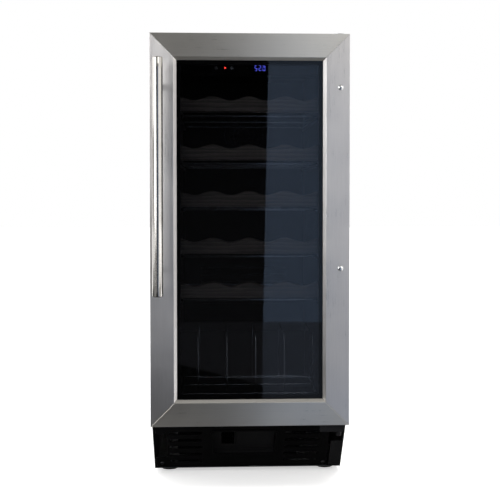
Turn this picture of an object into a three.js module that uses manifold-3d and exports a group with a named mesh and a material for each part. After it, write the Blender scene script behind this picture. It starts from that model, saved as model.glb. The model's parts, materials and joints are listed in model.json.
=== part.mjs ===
// Under-counter wine cooler, 15-inch class, right-hung glass door.
// Millimetres, +Z up, front of the cooler towards -Y, +X to the right seen from the front.
// The origin is the middle of the footprint on the floor.
import * as THREE from 'three';
import { mergeVertices } from 'three/addons/utils/BufferGeometryUtils.js';
import Module from 'manifold-3d';

const wasm = await Module();
wasm.setup();

// ---------------------------------------------------------------- driving dimensions
const WIDTH = 376;            // cabinet and door width
const HEIGHT = 871;           // floor to cabinet top
const BACK = 297;             // rear face
const CABINET_FRONT = -195;   // face that the gasket seals on
const SHEET = 1.2;            // steel sheet
const HALF = WIDTH / 2;
const IN = HALF - SHEET;      // inside face of a side panel

const DOOR_FRONT = -245;      // stainless face
const DOOR_REAR = -204;       // rigid rear face of the door
const DOOR_TOP = 866;
const DOOR_BOTTOM = 126;
const FRAME_WIDTH = 50;       // stainless member, edge to glass
const MITRE_GAP = 0.15;       // half of the joint line between two members
const GLASS_OVERLAP = 46;     // glass edge, measured in from the door's edge
const GLASS_FRONT = 8.3;      // depth of the outer pane behind the door face
const PANE = 4;
const PANE_GAP = 12;

const HINGE_X = 170;          // door pivot
const HINGE_Y = -222;
const HINGE_PIN_R = 3.5;
const HINGE_HOLE_R = 3.8;

const HANDLE_X = -171;
const HANDLE_R = 10;
const HANDLE_Y = -287;        // bar axis
const HANDLE_Z0 = 376;
const HANDLE_Z1 = 815.5;
const POST_Z = [765.5, 424.5];
const POST_R = 6;

const CAVITY_HALF = 141;      // inside of the liner
const CAVITY_FLOOR = 167;
const CAVITY_TOP = 826;
const CAVITY_BACK = 240;
const STEP_Y = 58;            // compressor step inside the cavity
const STEP_Z = 265;
const LINER = 1.5;

const BOX_BOTTOM = 126;       // underside of the insulation at the front
const MACHINE_Y = 98.8;       // front of the tall machine space
const MACHINE_TOP = 224;      // top of the tall machine space

const SHELF_Z = [724, 630.5, 540, 448, 362];   // underside of each wooden front
const SHELF_FRONT_Y = -175;
const SHELF_FRONT_THICK = 18;
const SHELF_HALF = 135;
const SHELF_PEAK = 31;
const SHELF_TROUGH = 24;
const BOTTLE_PITCH = 71;
const RACK_BACK = 185;

const TOE_Y0 = -195, TOE_Z0 = 118;             // top edge of the slanted toe-kick
const TOE_Y1 = -105, TOE_Z1 = 10;              // bottom edge
const FOOT_POS = [[-160, -62], [160, -62], [-160, 262], [160, 262]];
const FOOT_NAMES = ['foot_front_left', 'foot_front_right', 'foot_rear_left', 'foot_rear_right'];

// ---------------------------------------------------------------- solid helpers
function solid(geometry) {
  const g = geometry.clone();
  g.deleteAttribute('normal');
  g.deleteAttribute('uv');
  const m = mergeVertices(g, 1e-4);
  return new wasm.Manifold(new wasm.Mesh({
    numProp: 3,
    vertProperties: new Float32Array(m.attributes.position.array),
    triVerts: new Uint32Array(m.index.array),
  }));
}
function box(x0, x1, y0, y1, z0, z1) {
  const g = new THREE.BoxGeometry(x1 - x0, y1 - y0, z1 - z0);
  g.translate((x0 + x1) / 2, (y0 + y1) / 2, (z0 + z1) / 2);
  return solid(g);
}
function shapeOf(points, holes = []) {
  const s = new THREE.Shape(points.map(p => new THREE.Vector2(p[0], p[1])));
  for (const h of holes) s.holes.push(new THREE.Path(h.map(p => new THREE.Vector2(p[0], p[1]))));
  return s;
}
function extrude(shape, depth) {
  return new THREE.ExtrudeGeometry(shape, { depth, bevelEnabled: false, steps: 1 });
}
// outline in (y, z), running from x0 to x1
function extrudeX(points, x0, x1, holes = []) {
  const g = extrude(shapeOf(points, holes), x1 - x0);
  const m = new THREE.Matrix4().set(0, 0, 1, x0, 1, 0, 0, 0, 0, 1, 0, 0, 0, 0, 0, 1);
  g.applyMatrix4(m);
  return solid(g);
}
// outline in (x, z), running from y0 to y1
function extrudeY(points, y0, y1, holes = []) {
  const g = extrude(shapeOf(points, holes), y1 - y0);
  g.rotateX(Math.PI / 2);
  g.translate(0, y1, 0);
  return solid(g);
}
function cylY(x, z, y0, y1, r, n = 20) {
  const g = new THREE.CylinderGeometry(r, r, y1 - y0, n);
  g.translate(x, (y0 + y1) / 2, z);
  return solid(g);
}
function cylZ(x, y, z0, z1, r, n = 20) {
  const g = new THREE.CylinderGeometry(r, r, z1 - z0, n);
  g.rotateX(Math.PI / 2);
  g.translate(x, y, (z0 + z1) / 2);
  return solid(g);
}
// turned shape about +Z through (x, y); profile is [radius, z] from the bottom of the axis to its top
function latheZ(profile, x, y, n = 20) {
  const g = new THREE.LatheGeometry(profile.map(p => new THREE.Vector2(p[0], p[1])), n);
  g.rotateX(Math.PI / 2);
  g.translate(x, y, 0);
  return solid(g);
}
// turned shape about -Y through (x, z); profile is [radius, distance in front of y0]
function latheFront(profile, x, y0, z, n = 20) {
  const g = new THREE.LatheGeometry(profile.map(p => new THREE.Vector2(p[0], p[1])), n);
  g.rotateX(Math.PI);
  g.translate(x, y0, z);
  return solid(g);
}
function union(list) {
  return list.reduce((a, b) => a.add(b));
}
function cut(a, list) {
  return list.reduce((s, b) => s.subtract(b), a);
}
function ring(hx, z0, z1, t, y0, y1) {
  return box(-hx, hx, y0, y1, z0, z1).subtract(box(-hx + t, hx - t, y0 - 1, y1 + 1, z0 + t, z1 - t));
}
// the slanted toe plane: s runs down it, d into the cabinet
const TOE_LEN = Math.hypot(TOE_Y1 - TOE_Y0, TOE_Z0 - TOE_Z1);
const TY = (TOE_Y1 - TOE_Y0) / TOE_LEN, TZ = (TOE_Z1 - TOE_Z0) / TOE_LEN;
function onToe(manifold) {
  // local x = x, local y = -s, local z = -d
  const m = new THREE.Matrix4().set(
    1, 0, 0, 0,
    0, -TY, TZ, TOE_Y0,
    0, -TZ, -TY, TOE_Z0,
    0, 0, 0, 1);
  return manifold.transform(m.elements.slice());
}
function toeBox(x0, x1, s0, s1, d0, d1) {
  return onToe(box(x0, x1, -s1, -s0, -d1, -d0));
}
function toeCyl(x, s, d0, d1, r, n = 12) {
  return onToe(cylZ(x, -s, -d1, -d0, r, n));
}
function rounded(x0, x1, y0, y1, r, n = 3) {
  const pts = [];
  const corners = [[x1 - r, y0 + r, -90], [x1 - r, y1 - r, 0], [x0 + r, y1 - r, 90], [x0 + r, y0 + r, 180]];
  for (const [cx, cy, a0] of corners) {
    for (let i = 0; i <= n; i++) {
      const a = (a0 + 90 * i / n) * Math.PI / 180;
      pts.push([cx + r * Math.cos(a), cy + r * Math.sin(a)]);
    }
  }
  return pts;
}

const group = new THREE.Group();
function place(name, manifold, material) {
  const m = manifold.getMesh();
  const g = new THREE.BufferGeometry();
  const n = m.numProp;
  const src = m.vertProperties;
  const pos = new Float32Array(src.length / n * 3);
  for (let i = 0; i < src.length / n; i++) {
    pos[3 * i] = src[n * i];
    pos[3 * i + 1] = src[n * i + 1];
    pos[3 * i + 2] = src[n * i + 2];
  }
  g.setAttribute('position', new THREE.BufferAttribute(pos, 3));
  g.setIndex(new THREE.BufferAttribute(new Uint32Array(m.triVerts), 1));
  g.computeVertexNormals();
  const mesh = new THREE.Mesh(g, material);
  mesh.name = name;
  group.add(mesh);
}
const mat = (color, roughness, metalness, extra = {}) =>
  new THREE.MeshStandardMaterial({ color, roughness, metalness, flatShading: true, ...extra });
const stainless = () => mat(0x9c9a97, 0.35, 1.0);
const polished = () => mat(0xb8b4ac, 0.2, 1.0);
const blackSteel = () => mat(0x131315, 0.5, 0.3);
const zinc = () => mat(0x8c8f92, 0.45, 0.9);
const blackPlastic = () => mat(0x121214, 0.55, 0.0);
const greyPlastic = () => mat(0x1f2024, 0.5, 0.0);
const chromeWire = () => mat(0xc4c6c8, 0.15, 1.0);

// ---------------------------------------------------------------- cabinet shell
function sidePanel(sign) {
  const inner = sign * IN;
  const lo = Math.min(sign * HALF, inner), hi = Math.max(sign * HALF, inner);
  const sheet = extrudeX([[TOE_Y0, TOE_Z0], [TOE_Y1, TOE_Z1], [BACK, TOE_Z1], [BACK, HEIGHT], [CABINET_FRONT, HEIGHT]], lo, hi);
  const f0 = Math.min(sign * CAVITY_HALF, sign * (IN + 0.4)), f1 = Math.max(sign * CAVITY_HALF, sign * (IN + 0.4));
  let panel = sheet.add(box(f0, f1, CABINET_FRONT, CABINET_FRONT + SHEET, BOX_BOTTOM, HEIGHT - SHEET));
  if (sign > 0) {
    // return flange beside the toe grille, and the slot the upper hinge arm passes through
    panel = panel.add(toeBox(163, IN + 0.4, 57, 134, 0, SHEET));
    panel = panel.subtract(box(155.7, 184.3, CABINET_FRONT - 1, CABINET_FRONT + SHEET + 1, 866.5, HEIGHT - SHEET));
  } else {
    // tab that takes the grille's left screw
    panel = panel.add(toeBox(-IN - 0.4, -164, 106, 134, 3.3, 3.3 + SHEET));
    panel = panel.subtract(toeCyl(-173, 123.5, 2, 6, 2.3, 12));
  }
  return panel;
}
place('left_side_panel', sidePanel(-1), blackSteel());
place('right_side_panel', sidePanel(1), blackSteel());
place('top_panel', union([
  box(-IN, IN, CABINET_FRONT, BACK, HEIGHT - SHEET, HEIGHT),
  box(-CAVITY_HALF, CAVITY_HALF, CABINET_FRONT, CABINET_FRONT + SHEET, CAVITY_TOP, HEIGHT - SHEET + 0.4),
]), blackSteel());
place('back_panel', box(-IN, IN, BACK - SHEET, BACK, MACHINE_TOP, HEIGHT - SHEET), zinc());

// rear cover of the machine space, with three columns of louvre slots and the gland hole
{
  const slots = [];
  for (const [a, b] of [[-150, -20], [20, 150]]) {
    for (let k = 0; k < 7; k++) slots.push(box(a, b, BACK - 4, BACK + 2, 108 + 15 * k, 113 + 15 * k));
  }
  for (let k = 0; k < 3; k++) slots.push(box(-150, 40, BACK - 4, BACK + 2, 36 + 15 * k, 41 + 15 * k));
  slots.push(cylY(120, 60, BACK - 4, BACK + 2, 9, 20));
  place('rear_grille', cut(box(-IN, IN, BACK - SHEET, BACK, 12, MACHINE_TOP - 0.3), slots), zinc());
}

// floor and step of the insulated box, with the front strip below the opening
place('machine_bulkhead', union([
  box(-CAVITY_HALF, CAVITY_HALF, CABINET_FRONT, CABINET_FRONT + SHEET, BOX_BOTTOM - 0.4, CAVITY_FLOOR),
  box(-IN, IN, CABINET_FRONT, MACHINE_Y + SHEET, BOX_BOTTOM - SHEET, BOX_BOTTOM),
  box(-IN, IN, MACHINE_Y, MACHINE_Y + SHEET, BOX_BOTTOM - SHEET, MACHINE_TOP),
  box(-IN, IN, MACHINE_Y, BACK - SHEET, MACHINE_TOP - SHEET, MACHINE_TOP),
]), zinc());

// base pan with the four threaded bosses for the feet
{
  const bosses = FOOT_POS.map(([x, y]) => cylZ(x, y, TOE_Z1 + 0.6, 24, 9, 12));
  const holes = FOOT_POS.map(([x, y]) => cylZ(x, y, TOE_Z1 - 2, 40, 4.4, 12));
  for (let k = 0; k < 5; k++) holes.push(box(-120, -20, 110 + 14 * k, 116 + 14 * k, 5, 15));
  place('base_pan', cut(union([box(-IN, IN, TOE_Y1 + 1, BACK - SHEET, TOE_Z1, TOE_Z1 + SHEET), ...bosses]), holes), zinc());
}
FOOT_POS.forEach(([x, y], i) => {
  place(FOOT_NAMES[i], latheZ([[0, 0], [17, 0], [18, 1], [18, 4.5], [8, 8.6], [4, 8.6], [4, 45], [0, 45]], x, y, 14), blackPlastic());
});

// ---------------------------------------------------------------- insulated box
const linerOuter = [[CABINET_FRONT + SHEET, CAVITY_FLOOR - LINER], [STEP_Y + LINER, CAVITY_FLOOR - LINER], [STEP_Y + LINER, STEP_Z - LINER],
  [CAVITY_BACK + LINER, STEP_Z - LINER], [CAVITY_BACK + LINER, CAVITY_TOP + LINER], [CABINET_FRONT + SHEET, CAVITY_TOP + LINER]];
const linerInner = [[CABINET_FRONT - 5, CAVITY_FLOOR], [STEP_Y, CAVITY_FLOOR], [STEP_Y, STEP_Z],
  [CAVITY_BACK, STEP_Z], [CAVITY_BACK, CAVITY_TOP], [CABINET_FRONT - 5, CAVITY_TOP]];
{
  const hollow = extrudeX(linerInner, -CAVITY_HALF, CAVITY_HALF);
  const ledges = [];
  for (const z of SHELF_Z) {
    ledges.push(box(CAVITY_HALF - 8, CAVITY_HALF + 1, -150, 196, z - 14, z - 8.8));
    ledges.push(box(-CAVITY_HALF - 1, -CAVITY_HALF + 8, -150, 196, z - 14, z - 8.8));
  }
  place('inner_liner', union([extrudeX(linerOuter, -CAVITY_HALF - LINER, CAVITY_HALF + LINER).subtract(hollow), ...ledges]), greyPlastic());

  const foam = cut(box(-IN, IN, CABINET_FRONT + SHEET, BACK - SHEET, BOX_BOTTOM, HEIGHT - SHEET), [
    box(-IN - 1, IN + 1, MACHINE_Y, BACK, BOX_BOTTOM - 1, MACHINE_TOP),
    extrudeX(linerOuter.map(([y, z]) => [y === CABINET_FRONT + SHEET ? y - 5 : y, z]), -CAVITY_HALF - LINER, CAVITY_HALF + LINER),
    box(155.7, 184.3, CABINET_FRONT, -119.7, 866.5, HEIGHT),
  ]);
  place('foam_insulation', foam, mat(0xd9c48a, 0.9, 0.0));
}

// ---------------------------------------------------------------- control panel under the ceiling
const CTRL_Z = 811, CTRL_Y = -165;
const BUTTON_X = [-64, -33];
{
  let housing = box(-SHELF_HALF, SHELF_HALF, CTRL_Y, -115, 796, CAVITY_TOP - 0.3);
  housing = cut(housing, [
    box(-SHELF_HALF + 3, SHELF_HALF - 3, CTRL_Y + 6, -118, 799, CAVITY_TOP + 5),
    ...BUTTON_X.map(x => cylY(x, CTRL_Z, CTRL_Y - 2, CTRL_Y + 8, 3.7, 20)),
    cylY(-46, CTRL_Z, CTRL_Y - 2, CTRL_Y + 8, 1.9, 12),
    box(7.7, 35.3, CTRL_Y - 1, CTRL_Y + 4.3, 803.2, 817.3),
  ]);
  place('control_housing', housing, blackPlastic());
  place('display_lens', box(8, 35, CTRL_Y - 0.3, CTRL_Y + 4, 803.5, 817), mat(0x0a0d18, 0.1, 0.0));
  place('indicator_led', latheFront([[0, -8], [1.6, -8], [1.6, 0], [1.1, 0.7], [0, 1]], -46, CTRL_Y, CTRL_Z, 12), mat(0xd01010, 0.3, 0.0));
  BUTTON_X.forEach((x, i) => {
    place(i ? 'button_right' : 'button_left',
      latheFront([[0, -9], [4.8, -9], [4.8, -7.2], [3.4, -7.2], [3.4, 1.0], [2.9, 1.4], [0, 1.4]], x, CTRL_Y, CTRL_Z, 20), greyPlastic());
  });
  place('interior_light', box(-100, 100, -109, -95, 819, CAVITY_TOP - 0.3), mat(0xdfe8f2, 0.4, 0.0));
}

// ---------------------------------------------------------------- evaporator side
const EVAP_FAN_Z = 700;
{
  const slots = [];
  for (let k = 0; k < 6; k++) slots.push(box(-100, 100, 195, 205, 310 + 16 * k, 315 + 16 * k));
  const shell = cut(box(-138, 138, 200, CAVITY_BACK - 0.3, 268, 822), [
    box(-136, 136, 202.5, CAVITY_BACK + 1, 270, 820),
    cylY(0, EVAP_FAN_Z, 195, 205, 46, 28), ...slots]);
  place('evaporator_cover', union([shell, box(-136.5, 136.5, 228, 231, 694, 706), cylY(0, EVAP_FAN_Z, 214, 229, 3, 12)]), greyPlastic());
  const fins = [];
  for (let k = 0; k < 9; k++) fins.push(box(-104 + 23 * k, -92 + 23 * k, 212, 222, 336, 554));
  place('evaporator_coil', cut(box(-110, 110, 214, 234, 330, 560), fins)
    .add(box(112 - 4, 118, 226, 232, 340, 346)).add(box(112 - 4, 118, 226, 232, 540, 546)), mat(0xb9bcc0, 0.4, 0.9));
}
function fan(x, z, y0, y1, hubR, tipR, boreR, blades, pitchDeg) {
  const mid = (y0 + y1) / 2, len = y1 - y0;
  const list = [cylY(x, z, y0, y1, hubR, 20)];
  for (let k = 0; k < blades; k++) {
    const g = new THREE.BoxGeometry(tipR - hubR + 3, 1.8, Math.min(len / Math.sin(pitchDeg * Math.PI / 180), 2 * hubR) * 0.86);
    g.rotateX((90 - pitchDeg) * Math.PI / 180);
    g.translate(hubR - 3 + (tipR - hubR + 3) / 2, 0, 0);
    g.rotateY(2 * Math.PI * k / blades);
    g.translate(x, mid, z);
    list.push(solid(g));
  }
  return union(list).subtract(cylY(x, z, y0 + 3, y1 + 2, boreR, 12));
}
place('evaporator_fan', fan(0, EVAP_FAN_Z, 209, 226, 14, 42, 3.4, 5, 35), blackPlastic());

// ---------------------------------------------------------------- machine space
const COND_FAN = [80, 68];
{
  const bodyProfile = [[0, 34], [44, 34], [58, 42], [63, 60], [64, 110], [62, 140], [50, 166], [28, 178], [0, 181]];
  const feet = [[-58, -42], [58, -42], [-58, 42], [58, 42]].map(([dx, dy]) => cylZ(-70 + dx, 196 + dy, 11.5, 26, 10, 8));
  place('compressor', union([latheZ(bodyProfile, -70, 196, 18), box(-142, 2, 140, 252, 25, 28), cylZ(-70, 196, 27, 36, 40, 16), ...feet,
    cylZ(-22, 222, 100, 196, 4, 8)]), mat(0x0e0e10, 0.35, 0.4));
  place('drip_tray', box(-125, -30, 148, 244, 182, 200).subtract(box(-123, -32, 150, 242, 184, 210)), mat(0x2a2b2e, 0.6, 0.0));
  const gaps = [];
  for (let k = 0; k < 10; k++) gaps.push(box(-139 + 14 * k, -131 + 14 * k, -64, -48, 20, 112));
  place('condenser_coil', cut(box(-145, 5, -60, -15, 14, 118), gaps).add(box(-145, -138, -16, 40, 100, 107)), mat(0x3a3c40, 0.45, 0.8));
  place('condenser_fan', fan(COND_FAN[0], COND_FAN[1], -42, -20, 18, 46, 3.4, 5, 35), blackPlastic());
  place('condenser_fan_motor', union([cylY(COND_FAN[0], COND_FAN[1], -12, 26, 22, 20), cylY(COND_FAN[0], COND_FAN[1], -38, -11, 3, 12),
    box(COND_FAN[0] - 16, COND_FAN[0] + 16, 2, 20, 12, 50), box(COND_FAN[0] - 26, COND_FAN[0] + 26, -6, 30, 11.4, 14)]), mat(0x2d2f33, 0.5, 0.6));
  place('control_box', union([box(56, 140, 184, 262, 14, 92), box(46, 150, 196, 250, 11.5, 15), box(54, 142, 182, 264, 84, 95)]), mat(0xc9c9c4, 0.6, 0.0));
  place('cord_gland', union([cylY(120, 60, 266, 279, 11, 20), cylY(120, 60, 278, 295.5, 14, 20), cylY(120, 60, 295, BACK, 8.6, 20)])
    .subtract(cylY(120, 60, BACK - 4, BACK + 1, 3.5, 12)), blackPlastic());
}

// ---------------------------------------------------------------- toe-kick
const SLOT_S = [28, 50.6, 73.2, 95.8, 118.4];
const WINDOW = [-72, 54, 21, 94];
{
  const outline = [[-182, -4], [-182, -28], [-160, -28], [-160, -107], [-182, -107], [-182, -136], [158, -136], [158, -4]];
  const holes = [];
  for (const s of SLOT_S) {
    holes.push(rounded(-157, -93, -s - 5, -s + 5, 3, 1));
    holes.push(rounded(70, 139, -s - 5, -s + 5, 3, 1));
  }
  holes.push(rounded(WINDOW[0], WINDOW[1], -WINDOW[3], -WINDOW[2], 8, 3));
  const plate = solid(extrude(shapeOf(outline, holes), 2.5)).translate([0, 0, -3.0]);
  const rimOuter = rounded(WINDOW[0] - 4, WINDOW[1] + 4, -WINDOW[3] - 4, -WINDOW[2] + 4, 11, 3);
  const rim = solid(extrude(shapeOf(rimOuter, [rounded(WINDOW[0], WINDOW[1], -WINDOW[3], -WINDOW[2], 8, 3)]), 3.5)).translate([0, 0, -2.0]);
  place('toe_grille', cut(onToe(plate.add(rim)), [toeCyl(151.5, 126, -3, 6, 2.3), toeCyl(-173, 123.5, -3, 6, 2.3)]), blackPlastic());

  // tray behind the window: flange, four walls and a recessed floor with one cut-out
  const tub = cut(toeBox(WINDOW[0] - 6, WINDOW[1] + 6, WINDOW[2] - 4, WINDOW[3] + 4, 3.3, 13), [
    toeBox(WINDOW[0] + 1, WINDOW[1] - 1, WINDOW[2] + 1, WINDOW[3] - 1, 2, 11.5),
    toeBox(-54, -29, 26, 78, 5, 20),
  ]);
  place('access_cover', tub.add(toeBox(-24, 50, 25, 80, 7, 12)), blackPlastic());
  const screw = (x, s) => toeCyl(x, s, -1.6, 0.3, 4.2, 14).add(toeCyl(x, s, 0, 10, 1.9, 10));
  place('grille_screw_left', screw(-173, 123.5), blackSteel());
  place('grille_screw_right', screw(151.5, 126), blackSteel());
}

// ---------------------------------------------------------------- hinges (pin riveted to each bracket)
place('upper_hinge', union([
  box(156, 184, -218, -120, 866.8, 869.3),
  box(160, 180, -226, -217, 866.8, 869.3),
  cylZ(HINGE_X, HINGE_Y, 866.8, 869.3, 9, 20),
  cylZ(HINGE_X, HINGE_Y, 848, 867.5, HINGE_PIN_R, 24),
]), zinc());
place('lower_hinge', union([
  box(133, 179, -236, -110, 121.6, 124.6),
  box(133, 179, -236, -233.8, 111.4, 124.6),
  cylZ(HINGE_X, HINGE_Y, 122, 142, HINGE_PIN_R, 24),
  cylZ(HINGE_X, HINGE_Y, 101, 122, 5.5, 12),
  cylZ(HINGE_X, HINGE_Y, 110, 118, 8, 6),
]), blackSteel());

// ---------------------------------------------------------------- bottom wire rack
{
  const bars = [];
  const y0 = -150, y1 = 38, z0 = CAVITY_FLOOR + 0.3;
  for (const y of [y0, -56, y1]) bars.push(box(-136, 136, y - 2, y + 2, z0, z0 + 4));
  for (const x of [-134, 134]) bars.push(box(x - 2, x + 2, y0 - 2, y1 + 2, z0, z0 + 4));
  for (const x of [-100, -43, 14, 71, 128]) {
    bars.push(box(x - 1.5, x + 1.5, y0 - 1.5, y0 + 1.5, z0 + 1, 287));
    bars.push(box(x - 1.5, x + 1.5, y1 - 1.5, y1 + 1.5, z0 + 1, 287));
    bars.push(box(x - 1.5, x + 1.5, y0 - 1.5, y1 + 1.5, 284, 287));
  }
  bars.push(box(-101.5, 129.5, y0 - 1.5, y0 + 1.5, 200, 203));
  place('bottom_rack', union(bars), chromeWire());
}

// ---------------------------------------------------------------- door frame
// channel section: u inward from the door's edge, v back from the door's face
const SECTION = [[0, 0], [44.5, 0], [50, 6], [50, 8], [48.8, 8], [48.8, 6.5], [44, 1.2], [1.2, 1.2], [1.2, 40], [0, 40]];
function member(length) {
  // runs along local z from 0 to length with 45-degree ends; local x = u, local y = v
  const g = extrude(shapeOf(SECTION), length);
  const p = g.attributes.position;
  for (let i = 0; i < p.count; i++) {
    const u = p.getX(i);
    p.setZ(i, p.getZ(i) < length / 2 ? u + MITRE_GAP : length - u - MITRE_GAP);
  }
  return g;
}
const DOOR_H = DOOR_TOP - DOOR_BOTTOM;
function basis(g, ux, uy, uz, vx, vy, vz, wx, wy, wz, ox, oy, oz) {
  g.applyMatrix4(new THREE.Matrix4().set(ux, vx, wx, ox, uy, vy, wy, oy, uz, vz, wz, oz, 0, 0, 0, 1));
  return solid(g);
}
// a member seen from the front: u towards the glass, v to the rear, w = u x v
const memberTop = basis(member(WIDTH), 0, 0, -1, 0, 1, 0, 1, 0, 0, -HALF, DOOR_FRONT, DOOR_TOP);
const memberBottom = basis(member(WIDTH), 0, 0, 1, 0, 1, 0, -1, 0, 0, HALF, DOOR_FRONT, DOOR_BOTTOM);
const memberLeft = basis(member(DOOR_H), 1, 0, 0, 0, 1, 0, 0, 0, 1, -HALF, DOOR_FRONT, DOOR_BOTTOM);
const memberRight = basis(member(DOOR_H), -1, 0, 0, 0, 1, 0, 0, 0, -1, HALF, DOOR_FRONT, DOOR_TOP);
place('frame_top', memberTop.subtract(cylZ(HINGE_X, HINGE_Y, 860, 870, HINGE_HOLE_R + 0.4, 24)), stainless());
place('frame_bottom', memberBottom.subtract(cylZ(HINGE_X, HINGE_Y, 120, 130, HINGE_HOLE_R + 0.4, 24)), stainless());
place('frame_left', cut(memberLeft, POST_Z.map(z => cylY(HANDLE_X, z, DOOR_FRONT - 2, DOOR_FRONT + 4, 2.9, 12))), stainless());
place('frame_right', cut(memberRight, POST_Z.map(z => cylY(-HANDLE_X, z, DOOR_FRONT - 2, DOOR_FRONT + 4, 2.9, 12))), stainless());

// glazing
const G0 = DOOR_FRONT + GLASS_FRONT, G1 = G0 + PANE, G2 = G1 + PANE_GAP, G3 = G2 + PANE;
const GX = HALF - GLASS_OVERLAP, GZ0 = DOOR_BOTTOM + GLASS_OVERLAP, GZ1 = DOOR_TOP - GLASS_OVERLAP;
place('outer_glass', box(-GX, GX, G0, G1, GZ0, GZ1), mat(0x14161a, 0.05, 0.0, { transparent: true, opacity: 0.6 }));
place('inner_glass', box(-GX, GX, G2, G3, GZ0, GZ1), mat(0x1a1c20, 0.05, 0.0, { transparent: true, opacity: 0.5 }));
place('glass_spacer', ring(GX - 1, GZ0 + 1, GZ1 - 1, 10, G1, G2), mat(0x050506, 0.5, 0.2));

// inner door frame
{
  const at = (u, v0, v1, w) => box(-HALF + u, HALF - u, DOOR_FRONT + v0, DOOR_FRONT + v1, DOOR_BOTTOM + u, DOOR_TOP - u)
    .subtract(box(-HALF + w, HALF - w, DOOR_FRONT + v0 - 1, DOOR_FRONT + v1 + 1, DOOR_BOTTOM + w, DOOR_TOP - w));
  const body = union([
    at(1.5, 1.5, 8.0, 43.4),
    at(1.5, 7.9, G3 - DOOR_FRONT + 0.3, 45.7),
    at(1.5, G3 - DOOR_FRONT + 0.3, DOOR_REAR - DOOR_FRONT, 52),
  ]);
  place('door_inner_frame', cut(body, [
    cylZ(HINGE_X, HINGE_Y, 846, 870, HINGE_HOLE_R, 24),
    cylZ(HINGE_X, HINGE_Y, 120, 144, HINGE_HOLE_R, 24),
    ...POST_Z.map(z => cylY(HANDLE_X, z, DOOR_FRONT, DOOR_FRONT + 16, 3.2, 12)),
    ...POST_Z.map(z => cylY(-HANDLE_X, z, DOOR_FRONT, DOOR_FRONT + 12, 3.2, 12)),
  ]), blackPlastic());
}
// magnetic gasket
place('door_gasket', box(-HALF + 22, HALF - 22, DOOR_REAR, CABINET_FRONT - 0.3, DOOR_BOTTOM + 22, DOOR_TOP - 22)
  .subtract(box(-HALF + 36, HALF - 36, DOOR_REAR - 1, CABINET_FRONT + 1, DOOR_BOTTOM + 36, DOOR_TOP - 36)), mat(0x1a1a1b, 0.8, 0.0));

// handle
place('handle_bar', latheZ([[0, HANDLE_Z0], [HANDLE_R - 1, HANDLE_Z0], [HANDLE_R, HANDLE_Z0 + 1], [HANDLE_R, HANDLE_Z1 - 1], [HANDLE_R - 1, HANDLE_Z1], [0, HANDLE_Z1]],
  HANDLE_X, HANDLE_Y, 28), polished());
POST_Z.forEach((z, i) => {
  const saddle = cylZ(HANDLE_X, HANDLE_Y, z - 20, z + 20, HANDLE_R + 0.3, 28);
  place(i ? 'handle_post_lower' : 'handle_post_upper',
    cylY(HANDLE_X, z, HANDLE_Y + 6, DOOR_FRONT, POST_R, 20).subtract(saddle).add(cylY(HANDLE_X, z, DOOR_FRONT - 0.5, DOOR_FRONT + 14, 2.5, 12)), polished());
  place(i ? 'hole_plug_lower' : 'hole_plug_upper',
    latheFront([[0, -10], [2.5, -10], [2.5, 0], [5.6, 0], [5.6, 0.6], [4.4, 1.9], [2.4, 2.6], [0, 2.8]], -HANDLE_X, DOOR_FRONT, z, 20), polished());
});

// ---------------------------------------------------------------- shelves
SHELF_Z.forEach((z, i) => {
  const n = i + 1;
  const pts = [[-SHELF_HALF, z], [SHELF_HALF, z]];
  const mid = (SHELF_PEAK + SHELF_TROUGH) / 2, amp = (SHELF_PEAK - SHELF_TROUGH) / 2;
  const steps = 38;
  for (let k = 0; k <= steps; k++) {
    const x = SHELF_HALF - 2 * SHELF_HALF * k / steps;
    pts.push([x, z + mid + amp * Math.cos(2 * Math.PI * x / BOTTLE_PITCH)]);
  }
  place(`shelf_${n}_front`, extrudeY(pts, SHELF_FRONT_Y, SHELF_FRONT_Y + SHELF_FRONT_THICK), mat(0x2b211b, 0.5, 0.0));

  const back = SHELF_FRONT_Y + SHELF_FRONT_THICK;        // rear face of the wooden front
  // welded grid: side, front, middle and rear bars with a pair of wires under each bottle
  const y0 = back + 4, y1 = RACK_BACK, ym = 20;
  const xs = [-132];
  for (const c of [-106.5, -35.5, 35.5, 106.5]) for (const o of [-15, 15]) xs.push(c + o - 1.75, c + o + 1.75);
  xs.push(132);
  const holes = [];
  for (let k = 0; k < xs.length; k += 2) {
    for (const [a, b] of [[y0 + 5, ym - 2.5], [ym + 2.5, y1 - 5]]) {
      holes.push(box(xs[k], xs[k + 1], a, b, z - 10, z));
    }
  }
  const grid = cut(box(-137, 137, y0, y1, z - 8.5, z - 3.5), holes);
  const bars = [grid];
  for (const x of [-71, 71]) bars.push(box(x - 8, x + 8, back, back + 4.5, z - 8.5, z + 14));
  place(`shelf_${n}_rack`, union(bars), chromeWire());
});

export default group;
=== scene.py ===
import bpy, bmesh, math, json, random
from mathutils import Vector, Matrix


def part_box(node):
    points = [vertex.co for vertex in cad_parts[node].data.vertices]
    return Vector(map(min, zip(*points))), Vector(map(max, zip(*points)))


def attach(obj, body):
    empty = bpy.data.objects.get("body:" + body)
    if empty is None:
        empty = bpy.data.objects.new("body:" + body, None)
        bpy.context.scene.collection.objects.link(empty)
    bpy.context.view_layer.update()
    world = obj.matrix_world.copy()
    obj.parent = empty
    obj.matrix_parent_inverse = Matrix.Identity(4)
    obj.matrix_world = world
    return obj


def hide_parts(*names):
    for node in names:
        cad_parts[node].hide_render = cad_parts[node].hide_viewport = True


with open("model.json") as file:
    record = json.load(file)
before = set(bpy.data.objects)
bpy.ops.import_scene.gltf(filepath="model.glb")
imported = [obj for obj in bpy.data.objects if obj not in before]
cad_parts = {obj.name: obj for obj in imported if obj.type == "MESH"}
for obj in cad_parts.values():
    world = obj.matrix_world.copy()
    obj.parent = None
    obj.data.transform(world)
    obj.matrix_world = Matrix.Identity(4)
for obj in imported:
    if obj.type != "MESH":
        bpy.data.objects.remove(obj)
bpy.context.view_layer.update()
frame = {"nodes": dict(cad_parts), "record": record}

N = frame["nodes"]
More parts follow.
